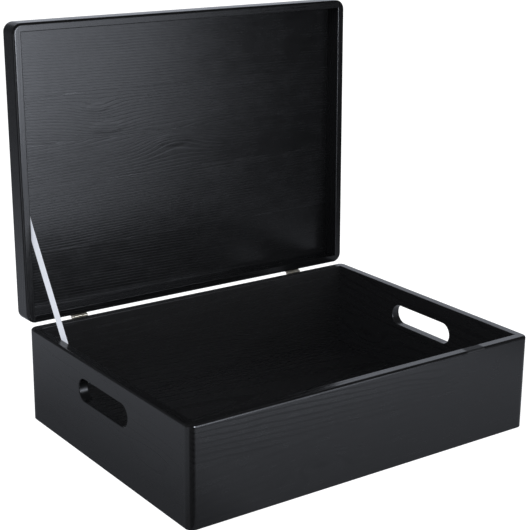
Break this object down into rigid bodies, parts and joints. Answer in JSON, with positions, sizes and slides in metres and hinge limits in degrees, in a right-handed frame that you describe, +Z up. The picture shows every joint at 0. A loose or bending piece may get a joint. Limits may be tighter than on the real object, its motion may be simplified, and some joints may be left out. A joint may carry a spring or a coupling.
{
  "type": "wooden storage box",
  "caption": "Shallow black wooden storage box standing open: hinged lid on a ribbon stay, small butt hinges and oval hand-holds.",
  "frame": {"origin": "middle of the body's footprint, on the surface that the box stands on", "axes": "+X to the right along the front, +Y from the front to the hinges, +Z up"},
  "size_m": [0.4, 0.3294, 0.3995],
  "materials": {
    "black_lacquered_pine": "satin black lacquer over pine, grain and knots showing through",
    "hinge_plate": "thin bright brass plate",
    "screw_plate": "thin bright brass plate",
    "white_ribbon": "close plain-woven white ribbon with a slight sheen",
    "staple_wire": "flat galvanised wire"
  },
  "bodies": {
    "box": {"body_front_board": "black_lacquered_pine", "body_back_board": "black_lacquered_pine", "body_left_board": "black_lacquered_pine", "body_right_board": "black_lacquered_pine", "body_bottom_panel": "black_lacquered_pine", "hinge_left_body_leaf": "hinge_plate", "hinge_left_pin": "hinge_plate", "hinge_right_body_leaf": "hinge_plate", "hinge_right_pin": "hinge_plate", "hinge_screws_body": "screw_plate", "ribbon_stay": "white_ribbon", "ribbon_staple_body": "staple_wire"},
    "lid": {"lid_front_rail": "black_lacquered_pine", "lid_back_rail": "black_lacquered_pine", "lid_left_rail": "black_lacquered_pine", "lid_right_rail": "black_lacquered_pine", "lid_top_board": "black_lacquered_pine", "hinge_left_lid_leaf": "hinge_plate", "hinge_right_lid_leaf": "hinge_plate", "hinge_screws_lid": "screw_plate", "ribbon_staple_lid": "staple_wire"}
  },
  "joints": [
    {"name": "lid_hinge", "type": "hinge", "parent": "box", "child": "lid", "pos_m": [0, 0.1514, 0.0982], "axis": [1, 0, 0], "range_deg": [0, 91], "deforming": ["ribbon_stay"]}
  ]
}
